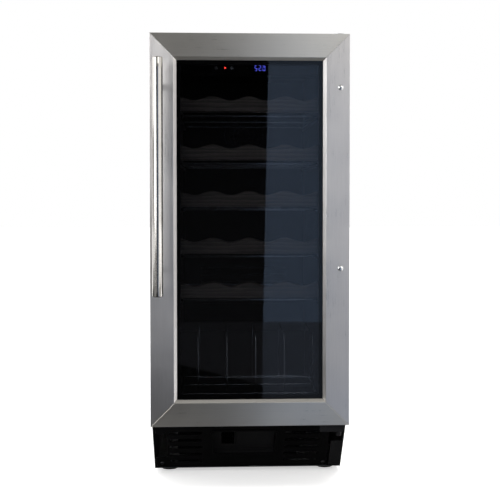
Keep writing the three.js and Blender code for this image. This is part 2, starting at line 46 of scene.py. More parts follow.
MM = 0.001
rnd = random.Random(11)
COL = bpy.context.scene.collection


# ------------------------------------------------------------------ mesh helpers (millimetres in, metres out)
def finish_mesh(name, bm, mats, angle=34.0, weighted=False):
    me = bpy.data.meshes.new(name)
    bmesh.ops.recalc_face_normals(bm, faces=bm.faces[:])
    bm.to_mesh(me)
    bm.free()
    for p in me.polygons:
        p.use_smooth = True
    me.set_sharp_from_angle(angle=math.radians(angle))
    for m in mats if isinstance(mats, (list, tuple)) else [mats]:
        me.materials.append(m)
    o = bpy.data.objects.new(name, me)
    COL.objects.link(o)
    if weighted:
        # flat faces keep flat shading, and only the rounded edges turn
        w = o.modifiers.new("weighted_normals", "WEIGHTED_NORMAL")
        w.mode, w.weight, w.keep_sharp = "FACE_AREA", 100, True
    return o


def add(bm, part, mat_index=0):
    """Moves the geometry of part into bm."""
    me = bpy.data.meshes.new("tmp")
    for f in part.faces:
        f.material_index = mat_index
    part.to_mesh(me)
    part.free()
    bm.from_mesh(me)
    bpy.data.meshes.remove(me)


def bevelled(bm, width, seg=2, angle=35.0):
    edges = [e for e in bm.edges if len(e.link_faces) == 2 and e.calc_face_angle(0) > math.radians(angle)]
    if edges and width > 0:
        bmesh.ops.bevel(bm, geom=edges, offset=width * MM, offset_type="OFFSET", segments=seg, profile=0.5,
                        affect="EDGES", clamp_overlap=True)
    return bm


def pbox(x0, x1, y0, y1, z0, z1, bev=0.5, seg=2):
    bm = bmesh.new()
    bmesh.ops.create_cube(bm, size=1.0)
    for v in bm.verts:
        v.co = Vector(((x0 + x1) / 2 + v.co.x * (x1 - x0), (y0 + y1) / 2 + v.co.y * (y1 - y0),
                       (z0 + z1) / 2 + v.co.z * (z1 - z0))) * MM
    return bevelled(bm, bev, seg, 30)


def prism(points, axis, a, b, bev=0.4, seg=2):
    """Outline extruded along an axis. points are in the other two axes, in cyclic order (y,z), (z,x) or (x,y)."""
    bm = bmesh.new()

    def co(p, t):
        if axis == "X":
            return Vector((t, p[0], p[1])) * MM
        if axis == "Y":
            return Vector((p[0], t, p[1])) * MM
        return Vector((p[0], p[1], t)) * MM
    lo = [bm.verts.new(co(p, a)) for p in points]
    hi = [bm.verts.new(co(p, b)) for p in points]
    n = len(points)
    bm.faces.new(lo)
    bm.faces.new(list(reversed(hi)))
    for i in range(n):
        bm.faces.new((lo[i], hi[i], hi[(i + 1) % n], lo[(i + 1) % n]))
    bmesh.ops.recalc_face_normals(bm, faces=bm.faces[:])
    return bevelled(bm, bev, seg, 40)


def lathe(profile, origin, axis="Z", seg=48):
    """profile is (radius, height along the axis) from one end on the axis to the other end on the axis."""
    bm = bmesh.new()
    ox, oy, oz = origin

    def co(r, h, a):
        c, s = r * math.cos(a), r * math.sin(a)
        if axis == "Z":
            return Vector((ox + c, oy + s, oz + h)) * MM
        if axis == "-Y":
            return Vector((ox + c, oy - h, oz + s)) * MM
        if axis == "Y":
            return Vector((ox + c, oy + h, oz - s)) * MM
        return Vector((ox + h, oy + c, oz + s)) * MM
    rows = []
    for r, h in profile:
        if r < 1e-6:
            rows.append([bm.verts.new(co(0, h, 0))])
        else:
            rows.append([bm.verts.new(co(r, h, 2 * math.pi * k / seg)) for k in range(seg)])
    for a, b in zip(rows, rows[1:]):
        for k in range(seg):
            k2 = (k + 1) % seg
            if len(a) == 1 and len(b) == 1:
                continue
            if len(a) == 1:
                bm.faces.new((a[0], b[k], b[k2]))
            elif len(b) == 1:
                bm.faces.new((a[k], a[k2], b[0]))
            else:
                bm.faces.new((a[k], a[k2], b[k2], b[k]))
    bmesh.ops.recalc_face_normals(bm, faces=bm.faces[:])
    return bm


def rounded_path(pts, r, steps=5):
    """Rounds the corners of a polyline."""
    out = [Vector(pts[0])]
    for a, b, c in zip(pts, pts[1:], pts[2:]):
        a, b, c = Vector(a), Vector(b), Vector(c)
        u, v = (a - b), (c - b)
        t = min(r, u.length * 0.49, v.length * 0.49)
        p0, p1 = b + u.normalized() * t, b + v.normalized() * t
        for i in range(steps + 1):
            k = i / steps
            out.append(p0.lerp(b, k).lerp(b.lerp(p1, k), k))
    out.append(Vector(pts[-1]))
    return out


def tube(pts, r, seg=10, dome=True):
    """A round wire along points, with rounded ends."""
    bm = bmesh.new()
    P = [Vector(p) for p in pts]
    tang = [(P[min(i + 1, len(P) - 1)] - P[max(i - 1, 0)]).normalized() for i in range(len(P))]
    ref = Vector((0, 0, 1)) if abs(tang[0].z) < 0.9 else Vector((1, 0, 0))
    u = tang[0].cross(ref).normalized()
    rings = []

    def ring(c, t, u, rr):
        w = t.cross(u).normalized()
        return [bm.verts.new((c + u * (rr * math.cos(2 * math.pi * k / seg)) + w * (rr * math.sin(2 * math.pi * k / seg))) * MM)
                for k in range(seg)]
    stations = []
    for i, p in enumerate(P):
        u = (u - tang[i] * u.dot(tang[i])).normalized()
        stations.append((p, tang[i], u.copy()))
    if dome:
        p, t, uu = stations[0]
        for k in (0.25, 0.6, 0.9):
            rings.append(ring(p + t * (r * (1 - math.sin(k * math.pi / 2)) * 0.8), t, uu, r * math.sin(k * math.pi / 2) ** 0.8))
    first = 0
    for i, (p, t, uu) in enumerate(stations):
        if dome and i == 0:
            rings.append(ring(p + t * (r * 0.8), t, uu, r))
        elif dome and i == len(stations) - 1:
            rings.append(ring(p - t * (r * 0.8), t, uu, r))
            for k in (0.9, 0.6, 0.25):
                rings.append(ring(p - t * (r * (1 - math.sin(k * math.pi / 2)) * 0.8), t, uu, r * math.sin(k * math.pi / 2) ** 0.8))
        else:
            rings.append(ring(p, t, uu, r))
    for a, b in zip(rings, rings[1:]):
        for k in range(seg):
            bm.faces.new((a[k], a[(k + 1) % seg], b[(k + 1) % seg], b[k]))
    bm.faces.new(list(reversed(rings[0])))
    bm.faces.new(rings[-1])
    bmesh.ops.recalc_face_normals(bm, faces=bm.faces[:])
    return bm


def skin_bm(node, bev=0.4, seg=2, angle=35.0):
    """A cleaned copy of a CAD node's mesh with rounded edges."""
    bm = bmesh.new()
    bm.from_mesh(N[node].data)
    bmesh.ops.remove_doubles(bm, verts=bm.verts[:], dist=2e-6)
    bmesh.ops.dissolve_limit(bm, angle_limit=math.radians(1.2), verts=bm.verts[:], edges=bm.edges[:])
    return bevelled(bm, bev, seg, angle)


BODY_OF = {}
for _b, _nodes in frame["record"]["behaviour"]["bodies"].items():
    for _n in _nodes:
        BODY_OF[_n] = _b
SLOT_OF = {s["node"]: s["material_slot"] for s in frame["record"]["subparts"]}


def place(piece, body, slot, *nodes):
    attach(piece, body)
    if nodes:
        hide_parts(*nodes)
    return piece


def skin(node, mats, bev=0.4, seg=2, angle=35.0, name=None):
    o = finish_mesh(name or node + "_shell", skin_bm(node, bev, seg, angle), mats, weighted=True)
    return place(o, BODY_OF[node], SLOT_OF[node], node)


# ------------------------------------------------------------------ material helpers
class Mat:
    def __init__(self, name):
        self.m = bpy.data.materials.new(name)
        self.m.use_nodes = True
        self.t = self.m.node_tree
        self.t.nodes.clear()
        self.out = self.n("OutputMaterial")
        self.p = self.n("BsdfPrincipled")
        self.l(self.p.outputs[0], self.out.inputs["Surface"])
        self.co = self.n("TexCoord").outputs["Object"]

    def n(self, kind, **kw):
        node = self.t.nodes.new("ShaderNode" + kind)
        for k, v in kw.items():
            setattr(node, k, v)
        return node

    def l(self, a, b):
        self.t.links.new(a, b)

    def vec(self, scale=(1, 1, 1), rot=(0, 0, 0)):
        m = self.n("Mapping")
        m.inputs["Scale"].default_value = scale
        m.inputs["Rotation"].default_value = rot
        self.l(self.co, m.inputs["Vector"])
        return m.outputs[0]

    def noise(self, scale, stretch=(1, 1, 1), detail=3.0, rough=0.55, distort=0.0, rot=(0, 0, 0)):
        t = self.n("TexNoise")
        t.inputs["Scale"].default_value = scale
        t.inputs["Detail"].default_value = detail
        t.inputs["Roughness"].default_value = rough
        t.inputs["Distortion"].default_value = distort
        self.l(self.vec(stretch, rot), t.inputs["Vector"])
        return t.outputs["Fac"]

    def voronoi(self, scale, feature="F1", out="Distance", stretch=(1, 1, 1)):
        t = self.n("TexVoronoi", feature=feature)
        t.inputs["Scale"].default_value = scale
        self.l(self.vec(stretch), t.inputs["Vector"])
        return t.outputs[out]

    def rng(self, v, a, b, c, d):
        t = self.n("MapRange")
        for s, x in (("From Min", a), ("From Max", b), ("To Min", c), ("To Max", d)):
            t.inputs[s].default_value = x
        self.l(v, t.inputs["Value"])
        return t.outputs["Result"]

    def math(self, op, a, b=None):
        t = self.n("Math", operation=op)
        for i, x in enumerate((a, b)):
            if x is None:
                continue
            if isinstance(x, (int, float)):
                t.inputs[i].default_value = x
            else:
                self.l(x, t.inputs[i])
        return t.outputs[0]

    def ramp(self, fac, stops):
        t = self.n("ValToRGB")
        e = t.color_ramp.elements
        while len(e) < len(stops):
            e.new(0.5)
        for el, (pos, c) in zip(e, stops):
            el.position = pos
            el.color = (*c, 1)
        self.l(fac, t.inputs["Fac"])
        return t.outputs["Color"]

    def mixc(self, fac, a, b):
        t = self.n("Mix", data_type="RGBA")
        for s, x in ((0, fac), (6, a), (7, b)):
            if isinstance(x, (int, float)):
                t.inputs[s].default_value = x
            elif isinstance(x, tuple):
                t.inputs[s].default_value = (*x, 1)
            else:
                self.l(x, t.inputs[s])
        return t.outputs[2]

    def bump(self, h, strength, dist, prev=None):
        t = self.n("Bump")
        t.inputs["Strength"].default_value = strength
        t.inputs["Distance"].default_value = dist
        self.l(h, t.inputs["Height"])
        if prev is not None:
            self.l(prev, t.inputs["Normal"])
        return t.outputs[0]

    def base(self, color=None, rough=None, normal=None, **fixed):
        for s, x in (("Base Color", color), ("Roughness", rough), ("Normal", normal)):
            if x is None:
                continue
            if isinstance(x, tuple):
                self.p.inputs[s].default_value = (*x, 1)
            elif isinstance(x, (int, float)):
                self.p.inputs[s].default_value = x
            else:
                self.l(x, self.p.inputs[s])
        for k, x in fixed.items():
            s = k.replace("_", " ")
            self.p.inputs[s].default_value = (*x, 1) if isinstance(x, tuple) and len(x) == 3 else x
        return self.m


def brushed(name, along, tint, rough=0.30, aniso=0.72, seed=0.0):
    """Brushed stainless: streaks run along one axis, and the shine spreads across them."""
    k = Mat(name)
    fine = {"Z": (2200, 2200, 26), "X": (26, 2200, 2200)}[along]
    mid = {"Z": (520, 520, 5), "X": (5, 520, 520)}[along]
    a = k.noise(1.0, fine, 2.0, 0.6)
    b = k.noise(1.0, mid, 3.0, 0.6)
    smear = k.noise(9.0, (1, 1, 1), 4.0, 0.6, 0.6)
    streak = k.math("ADD", k.math("MULTIPLY", a, 0.65), k.math("MULTIPLY", b, 0.35))
    shade = k.math("ADD", k.math("MULTIPLY", streak, 0.72), k.math("MULTIPLY", smear, 0.28))
    dark = tuple(c * 0.90 for c in tint)
    light = tuple(min(1, c * 1.06) for c in tint)
    color = k.ramp(shade, [(0.30, dark), (0.70, light)])
    r = k.math("ADD", k.rng(streak, 0.3, 0.7, rough - 0.05, rough + 0.05), k.rng(smear, 0.35, 0.7, -0.015, 0.035))
    nrm = k.bump(streak, 0.16, 0.00006)
    m = k.base(color, r, nrm, Metallic=1.0, Anisotropic=aniso)
    c = k.n("CombineXYZ")
    for i, v in enumerate({"Z": (1.0, 0.30, 0.04), "X": (0.04, 0.30, 1.0)}[along]):
        c.inputs[i].default_value = v
    vt = k.n("VectorTransform", vector_type="VECTOR", convert_from="OBJECT", convert_to="WORLD")
    k.l(c.outputs[0], vt.inputs[0])
    k.l(vt.outputs[0], k.p.inputs["Tangent"])
    return m


steel_v = brushed("stainless_upright", "Z", (0.66, 0.645, 0.64), 0.31)
# the rails get a darker, warmer tint than the uprights of the same stainless steel: painted shade
steel_rail_painted_shade = brushed("stainless_rail_painted_shade", "X", (0.625, 0.605, 0.565), 0.31)


def handle_steel():
    k = Mat("handle_satin")
    a = k.noise(1.0, (60, 60, 3200), 2.0, 0.5)
    s = k.noise(26.0, (1, 1, 1), 4.0, 0.6, 0.4)
    color = k.ramp(k.math("ADD", k.math("MULTIPLY", a, 0.4), k.math("MULTIPLY", s, 0.6)),
                   [(0.30, (0.47, 0.455, 0.435)), (0.70, (0.58, 0.57, 0.55))])
    r = k.math("ADD", k.rng(a, 0.3, 0.7, 0.075, 0.115), k.rng(s, 0.4, 0.7, -0.015, 0.04))
    return k.base(color, r, k.bump(a, 0.06, 0.00003), Metallic=1.0)


def powder(name="powder_coat", tint=(0.0048, 0.0048, 0.0054), spec=0.22):
    k = Mat(name)
    peel = k.noise(900.0, detail=2.0, rough=0.5)
    cell = k.voronoi(1500.0, "SMOOTH_F1")
    wear = k.noise(14.0, detail=5.0, rough=0.65)
    color = k.ramp(wear, [(0.30, tuple(c * 0.8 for c in tint)), (0.75, tuple(c * 1.45 for c in tint))])
    r = k.rng(k.math("ADD", k.math("MULTIPLY", peel, 0.5), k.math("MULTIPLY", wear, 0.5)), 0.35, 0.65, 0.42, 0.58)
    nrm = k.bump(cell, 0.25, 0.00010, k.bump(peel, 0.30, 0.00012))
    m = k.base(color, r, nrm)
    k.p.inputs["Specular IOR Level"].default_value = spec
    return m


def zinc(name="zinc_sheet", tint=(0.36, 0.372, 0.385)):
    k = Mat(name)
    cells = k.n("TexVoronoi", feature="F1")
    cells.inputs["Scale"].default_value = 150.0
    k.l(k.vec((1, 1, 1)), cells.inputs["Vector"])
    sep = k.n("SeparateColor")
    k.l(cells.outputs["Color"], sep.inputs[0])
    fine = k.noise(700.0, detail=3.0)
    stain = k.noise(7.0, detail=5.0, rough=0.6, distort=0.4)
    f = k.math("ADD", k.math("MULTIPLY", sep.outputs[0], 0.30), k.math("MULTIPLY", stain, 0.70))
    color = k.ramp(f, [(0.15, tuple(c * 0.80 for c in tint)), (0.85, tuple(c * 1.10 for c in tint))])
    r = k.math("ADD", k.rng(sep.outputs[1], 0, 1, 0.34, 0.46), k.rng(stain, 0.3, 0.7, -0.03, 0.06))
    return k.base(color, r, k.bump(fine, 0.18, 0.00006), Metallic=1.0)


def plastic(name, tint, rough=0.5, grain=1900.0, strength=0.30, spec=0.4, mottle=0.35, size=0.00008):
    k = Mat(name)
    g = k.noise(grain, detail=2.0, rough=0.6)
    v = k.voronoi(grain * 0.62, "SMOOTH_F1")
    w = k.noise(17.0, detail=5.0, rough=0.62)
    lo_, hi_ = tuple(c * (1 - mottle * 0.5) for c in tint), tuple(min(1, c * (1 + mottle * 0.6)) for c in tint)
    color = k.ramp(w, [(0.3, lo_), (0.72, hi_)])
    r = k.math("ADD", k.rng(g, 0.3, 0.7, rough - 0.04, rough + 0.05), k.rng(w, 0.3, 0.7, -0.03, 0.05))
    nrm = k.bump(v, strength * 0.7, size, k.bump(g, strength, size))
    m = k.base(color, r, nrm)
    k.p.inputs["Specular IOR Level"].default_value = spec
    return m


def glass(name, tint, ior=1.36, film=0.0):
    """A thin pane: tinted, clear, with a mirror film where it faces away."""
    k = Mat(name)
    k.t.nodes.remove(k.p)
    tr = k.n("BsdfTransparent")
    gl = k.n("BsdfGlossy")
    fr = k.n("Fresnel")
    fr.inputs["IOR"].default_value = ior
    mix = k.n("MixShader")
    smear = k.noise(11.0, (1, 1, 1), 5.0, 0.62, 1.1)
    dust = k.noise(420.0, (1, 1, 1), 4.0, 0.7)
    color = k.ramp(k.math("ADD", k.math("MULTIPLY", smear, 0.7), k.math("MULTIPLY", dust, 0.3)),
                   [(0.30, tuple(c * 0.97 for c in tint)), (0.75, tint)])
    k.l(color, tr.inputs["Color"])
    gl.inputs["Color"].default_value = (1, 1, 1, 1)
    k.l(k.rng(smear, 0.35, 0.75, 0.004, 0.030), gl.inputs["Roughness"])
    k.l(fr.outputs[0], mix.inputs[0])
    k.l(tr.outputs[0], mix.inputs[1])
    k.l(gl.outputs[0], mix.inputs[2])
    k.l(mix.outputs[0], k.out.inputs["Surface"])
    return k.m


def wood():
    k = Mat("dark_wood")
    ring = k.n("TexWave", wave_type="BANDS", bands_direction="Z", wave_profile="SAW")
    ring.inputs["Scale"].default_value = 42.0
    ring.inputs["Distortion"].default_value = 5.5
    ring.inputs["Detail"].default_value = 3.0
    ring.inputs["Detail Scale"].default_value = 1.4
    k.l(k.vec((0.14, 1.0, 1.0)), ring.inputs["Vector"])
    fib = k.noise(1.0, (22, 1500, 1500), 3.0, 0.65)
    pores = k.noise(1.0, (70, 2600, 2600), 1.0, 0.5)
    broad = k.noise(1.0, (5, 60, 60), 4.0, 0.6)
    g = k.math("ADD", k.math("MULTIPLY", ring.outputs["Fac"], 0.45), k.math("ADD", k.math("MULTIPLY", fib, 0.35), k.math("MULTIPLY", broad, 0.20)))
    color = k.ramp(g, [(0.22, (0.031, 0.022, 0.0165)), (0.48, (0.070, 0.054, 0.043)), (0.78, (0.122, 0.097, 0.078))])
    pit = k.rng(pores, 0.60, 0.72, 0.0, 1.0)
    color = k.mixc(k.math("MULTIPLY", pit, 0.6), color, (0.012, 0.007, 0.005))
    r = k.math("ADD", k.rng(g, 0.2, 0.8, 0.36, 0.50), k.math("MULTIPLY", pit, 0.12))
    h = k.math("SUBTRACT", k.math("MULTIPLY", fib, 0.5), k.math("MULTIPLY", pit, 0.6))
    m = k.base(color, r, k.bump(h, 0.35, 0.00018))
    k.p.inputs["Coat Weight"].default_value = 0.25
    k.p.inputs["Coat Roughness"].default_value = 0.28
    return m


def chrome(name="chrome_wire", tint=(0.78, 0.79, 0.80), rough=0.12):
    k = Mat(name)
    a = k.noise(60.0, detail=4.0, rough=0.6)
    b = k.noise(900.0, detail=2.0)
    color = k.ramp(a, [(0.3, tuple(c * 0.90 for c in tint)), (0.7, tint)])
    r = k.math("ADD", k.rng(a, 0.3, 0.7, rough - 0.03, rough + 0.07), k.rng(b, 0.3, 0.7, 0.0, 0.03))
    return k.base(color, r, k.bump(b, 0.08, 0.00004), Metallic=1.0)


def rubber(name="gasket_rubber", tint=(0.020, 0.020, 0.021)):
    k = Mat(name)
    g = k.noise(1300.0, detail=3.0)
    dust = k.noise(24.0, detail=6.0, rough=0.7)
    color = k.ramp(dust, [(0.35, tint), (0.85, tuple(c * 2.0 for c in tint))])
    return k.base(color, k.rng(dust, 0.3, 0.7, 0.62, 0.80), k.bump(g, 0.25, 0.00008))


def foam_mat():
    k = Mat("rigid_foam")
    v = k.voronoi(700.0, "F1")
    n = k.noise(30.0, detail=5.0)
    color = k.ramp(k.math("ADD", k.math("MULTIPLY", v, 0.4), k.math("MULTIPLY", n, 0.6)),
                   [(0.2, (0.50, 0.40, 0.21)), (0.8, (0.74, 0.64, 0.42))])
    return k.base(color, 0.85, k.bump(v, 0.6, 0.0004))


def glow(name, tint, strength, core):
    k = Mat(name)
    n = k.noise(1400.0, detail=2.0)
    color = k.ramp(n, [(0.3, tuple(c * 0.8 for c in tint)), (0.7, tint)])
    m = k.base(color, k.rng(n, 0.3, 0.7, 0.10, 0.22), k.bump(n, 0.08, 0.00003))
    k.p.inputs["Emission Color"].default_value = (*core, 1)
    k.p.inputs["Emission Strength"].default_value = strength
    return m


HANDLE = handle_steel()
PAINT = powder()
ZINC = zinc()
ZINC_BRIGHT = zinc("zinc_bright", (0.50, 0.51, 0.52))
# a darker copy of the zinc sheet for the machine-space parts: painted shade for the dark inside of the machine space
ZINC_PAINTED_SHADE = zinc("zinc_painted_shade", (0.17, 0.175, 0.18))
BLACK = plastic("black_plastic", (0.0030, 0.0030, 0.0034), 0.52, 1900.0, 0.32, 0.16)
# the toe-kick plastic is a darker copy of the black plastic: painted shade for the shadow under the door
KICK_PAINTED_SHADE = plastic("kick_plastic_painted_shade", (0.0016, 0.0016, 0.0018), 0.55, 1900.0, 0.32, 0.08)
LINER = plastic("liner_plastic", (0.0065, 0.0068, 0.0076), 0.42, 700.0, 0.10, 0.25, 0.25, 0.00006)
BUTTON = plastic("button_plastic", (0.16, 0.165, 0.175), 0.36, 1600.0, 0.15, 0.5)
BOX = plastic("box_plastic", (0.52, 0.52, 0.50), 0.46, 1500.0, 0.25, 0.45, 0.16)
FAN = plastic("fan_plastic", (0.014, 0.014, 0.015), 0.44, 1500.0, 0.18, 0.4)
SPACER = plastic("spacer_satin", (0.0020, 0.0020, 0.0023), 0.38, 1700.0, 0.10, 0.08)
ENAMEL = powder("machine_enamel", (0.009, 0.009, 0.010), 0.4)
BRACKET = powder("bracket_black", (0.0036, 0.0036, 0.0044), 0.13)
SCREW_BLACK = chrome("screw_black_oxide", (0.085, 0.085, 0.09), 0.34)
GASKET = rubber()
WOOD = wood()
CHROME = chrome()
COPPER = chrome("copper_line", (0.72, 0.40, 0.26), 0.26)
ALU = chrome("aluminium_fin", (0.66, 0.67, 0.68), 0.34)
FOAM = foam_mat()
TINTED = glass("tinted_glass", (0.69, 0.70, 0.72))
CLEAR = glass("inner_pane_glass", (0.92, 0.925, 0.93))
LENS = plastic("light_lens", (0.70, 0.74, 0.78), 0.34, 900.0, 0.25, 0.5, 0.10)
DISPLAY = plastic("display_lens", (0.002, 0.003, 0.008), 0.12, 900.0, 0.04, 0.5)
LED = glow("indicator_red", (0.45, 0.012, 0.010), 4.6, (1.0, 0.05, 0.035))
DIGIT = glow("digit_blue", (0.02, 0.03, 0.30), 3.4, (0.13, 0.14, 1.0))

# ------------------------------------------------------------------ camera (first, as everything is matched to its view)
cam_data = bpy.data.cameras.new("photo_view")
cam_data.sensor_width = 36.0
cam_data.lens = 1011.0 / 500.0 * 36.0
cam_data.shift_x = -0.03
cam_data.shift_y = -0.06
cam_data.clip_start, cam_data.clip_end = 0.05, 60.0
cam_data.dof.use_dof = False
cam = bpy.data.objects.new("photo_view", cam_data)
cam.location = (-0.0634, -2.145, 0.5682)
cam.rotation_euler = (math.radians(90 - 1.569), 0.0, math.radians(-2.752))
COL.objects.link(cam)
bpy.context.scene.camera = cam

# ------------------------------------------------------------------ cabinet
skin("left_side_panel", PAINT, 0.45)
skin("right_side_panel", PAINT, 0.45)
skin("top_panel", PAINT, 0.45)
skin("back_panel", ZINC, 0.35)
skin("rear_grille", ZINC, 0.35)
# bulkhead and base pan use the darker zinc copy, which is painted shade
skin("machine_bulkhead", ZINC_PAINTED_SHADE, 0.35)
skin("base_pan", ZINC_PAINTED_SHADE, 0.35)
skin("inner_liner", LINER, 0.6)
skin("foam_insulation", FOAM, 0.5)
skin("control_housing", BLACK, 0.7, 3)
skin("evaporator_cover", LINER, 0.7, 3)
skin("interior_light", LENS, 1.4, 3)


def screw_head(x, z, y, r=3.4, h=1.7, away=1):
    """A domed cross-recess screw head standing on a plane of constant y; away is +1 for the back."""
    bm = lathe([(0, -1.2), (r * 0.5, -1.2), (r * 0.5, 0), (r, 0.0), (r, 0.35), (r * 0.86, h * 0.72), (r * 0.5, h * 0.95), (r * 0.22, h), (r * 0.18, h - 0.8), (0, h - 1.0)],
               (x, y, z), "Y" if away > 0 else "-Y", 24)
    return bm


def screws(name, spots, body, slot, mat, r=3.4, h=1.7, away=1):
    bm = bmesh.new()
    for x, z, y in spots:
        add(bm, screw_head(x, z, y, r, h, away))
        for a in (0.35, 0.35 + math.pi / 2):
            c, s = math.cos(a) * r * 0.55, math.sin(a) * r * 0.55
            t0, t1 = (y + h * 0.80, y + h + 0.06) if away > 0 else (y - h - 0.06, y - h * 0.80)
            w = r * 0.09
            add(bm, prism([(x - c - s * w, z - s + c * w), (x - c + s * w, z - s - c * w),
                           (x + c + s * w, z + s - c * w), (x + c - s * w, z + s + c * w)], "Y", t0, t1, 0.0))
    return place(finish_mesh(name, bm, mat), body, slot)


screws("back_screws", [(x, z, 296.0) for x in (-180, 180) for z in (232, 385, 540, 700, 862)] + [(x, 862, 296.0) for x in (-90, 0, 90)]
       + [(x, 18, 296.0) for x in (-180, -60, 180)] + [(x, 218, 296.0) for x in (-90, 90)], "cabinet", "zinc_steel", ZINC_BRIGHT, 2.6, 0.95)

# louvre lips bent outwards would stand proud of the back, so they are bent inwards behind each slot
lips = bmesh.new()
for x0, x1 in ((-150, -20), (20, 150)):
    for k in range(7):
        z = 108 + 15 * k
        add(lips, prism([(295.9, z + 5.0), (295.9, z + 6.2), (292.2, z + 4.0), (290.6, z + 0.8), (291.6, z + 0.4), (293.0, z + 3.2)], "X", x0 + 1, x1 - 1, 0.2, 2))
place(finish_mesh("rear_louvre_lips", lips, ZINC), "cabinet", "zinc_steel")

# ------------------------------------------------------------------ control panel
for name, x in (("button_left", -64), ("button_right", -33)):
    b = lathe([(0, -9), (4.6, -9), (4.8, -8.8), (4.8, -7.4), (4.6, -7.2), (3.4, -7.2), (3.4, 0.6), (3.3, 0.95), (3.0, 1.25), (2.6, 1.38),
               (2.2, 1.36), (1.6, 1.22), (0.8, 1.12), (0, 1.1)], (x, -165, 811), "-Y", 48)
    place(finish_mesh(name + "_cap", b, BUTTON), BODY_OF[name], SLOT_OF[name], name)
    rim = lathe([(3.75, -0.2), (5.0, -0.2), (5.0, 0.14), (4.85, 0.26), (3.95, 0.26), (3.75, 0.1), (3.75, -0.2)], (x, -165, 811), "-Y", 48)
    place(finish_mesh(name + "_rim", rim, CHROME), "cabinet", "button_plastic")
led = lathe([(0, -8), (1.6, -8), (1.6, 0), (1.45, 0.45), (1.1, 0.8), (0.6, 0.96), (0, 1.0)], (-46, -165, 811), "-Y", 32)
place(finish_mesh("indicator_led_lens", led, LED), "cabinet", "indicator", "indicator_led")
place(finish_mesh("display_lens_pane", skin_bm("display_lens", 0.35, 3), DISPLAY), "cabinet", "display", "display_lens")

SEG = {"5": "afgcd", "2": "abged", "0": "abcdef"}
digits = bmesh.new()


def segment_bars(x, z, w, h, t, on):
    """Seven-segment strokes with pointed ends; (x, z) is the lower left corner."""
    g = 0.12
    hh = h / 2
    H = lambda zz: [(x + t / 2 + g, zz), (x + t + g, zz + t / 2), (x + w - t - g, zz + t / 2), (x + w - t / 2 - g, zz), (x + w - t - g, zz - t / 2), (x + t + g, zz - t / 2)]
    V = lambda xx, z0, z1: [(xx, z0 + g), (xx + t / 2, z0 + t / 2 + g), (xx + t / 2, z1 - t / 2 - g), (xx, z1 - g), (xx - t / 2, z1 - t / 2 - g), (xx - t / 2, z0 + t / 2 + g)]
    shapes = {"a": H(z + h - t / 2), "g": H(z + hh), "d": H(z + t / 2),
              "f": V(x + t / 2, z + hh, z + h - t / 2), "b": V(x + w - t / 2, z + hh, z + h - t / 2),
              "e": V(x + t / 2, z + t / 2, z + hh), "c": V(x + w - t / 2, z + t / 2, z + hh)}
    for c in on:
        add(digits, prism(shapes[c], "Y", -165.42, -165.25, 0.0))


for ch, x in (("5", 11.8), ("2", 19.6), ("0", 27.6)):
    segment_bars(x, 805.3, 4.3, 10.0, 0.72, SEG[ch])
add(digits, prism([(25.45, 805.4), (26.1, 805.4), (26.1, 806.1), (25.45, 806.1)], "Y", -165.42, -165.25, 0.0))
place(finish_mesh("display_digits", digits, DIGIT), "cabinet", "display")
place(finish_mesh("panel_sensor", lathe([(0, -0.3), (1.1, -0.3), (1.1, 0.05), (0.9, 0.16), (0, 0.2)], (-2.5, -165, 811), "-Y", 24), BUTTON), "cabinet", "button_plastic")

# ------------------------------------------------------------------ fans
def fan_piece(node, name, cx, cz, hub, tip, blades, turn):
    lo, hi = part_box(node)
    y0, y1 = lo.y / MM + 0.4, hi.y / MM - 0.4
    mid = (y0 + y1) / 2
    bm = bmesh.new()
    yh0, yh1 = (209, 226) if node == "evaporator_fan" else (-42, -20)
    L = yh1 - yh0
    add(bm, lathe([(0, 0), (hub * 0.72, 0), (hub * 0.90, 0.8), (hub, 2.6), (hub, L), (hub - 1.6, L), (hub - 1.6, 3.6), (4.8, 3.4), (4.8, L - 2), (3.5, L - 2), (3.5, 3.1), (0, 3.0)],
                  (cx, yh0, cz), "Y", 48))
    for b in range(blades):
        a0 = 2 * math.pi * b / blades
        g = bmesh.new()
        rows = []
        nr, nt = 7, 8
        for i in range(nr + 1):
            f = i / nr
            r = hub - 0.6 + (tip - hub + 0.4) * f
            half = (0.52 + 0.16 * f) * (1 - 0.12 * f ** 3)          # half the blade's angular width
            row = []
            for j in range(nt + 1):
                s = -1 + 2 * j / nt
                ang = a0 + turn * (s * half + 0.20 * f * f)
                rr = r - (1.8 * s * s if i == nr else 0)
                yy = mid + (y1 - y0) * 0.5 * (0.86 - 0.14 * f) * (-s) * 0.94 + 1.1 * (1 - s * s)
                yy = min(max(yy, y0 + 0.8), y1 - 0.8)
                row.append(g.verts.new(Vector((cx + rr * math.cos(ang), yy, cz + rr * math.sin(ang))) * MM))
            rows.append(row)
        for i in range(nr):
            for j in range(nt):
                g.faces.new((rows[i][j], rows[i][j + 1], rows[i + 1][j + 1], rows[i + 1][j]))
        bmesh.ops.recalc_face_normals(g, faces=g.faces[:])
        bmesh.ops.solidify(g, geom=g.faces[:], thickness=1.2 * MM)
        bmesh.ops.recalc_face_normals(g, faces=g.faces[:])
        add(bm, g)
    return place(finish_mesh(name, bm, FAN, 50), BODY_OF[node], SLOT_OF[node], node)


fan_piece("evaporator_fan", "evaporator_fan_blades", 0, 700, 14, 42, 5, 1)
fan_piece("condenser_fan", "condenser_fan_blades", 80, 68, 18, 46, 5, 1)

# finger guard over the evaporator fan opening, clipped to the cover
guard = bmesh.new()
for r in (14, 24, 34, 44):
    pts = [(r * math.cos(2 * math.pi * k / 40), 202.0, 700 + r * math.sin(2 * math.pi * k / 40)) for k in range(41)]
    add(guard, tube(pts, 0.8, 8, False))
for k in range(4):
    a = math.pi / 4 + k * math.pi / 2
    add(guard, tube([(14 * math.cos(a), 202.4, 700 + 14 * math.sin(a)), (30 * math.cos(a), 202.4, 700 + 30 * math.sin(a)), (47.5 * math.cos(a), 202.4, 700 + 47.5 * math.sin(a))], 0.8, 8))
place(finish_mesh("evaporator_fan_guard", guard, CHROME, 60), "cabinet", "chrome_wire")

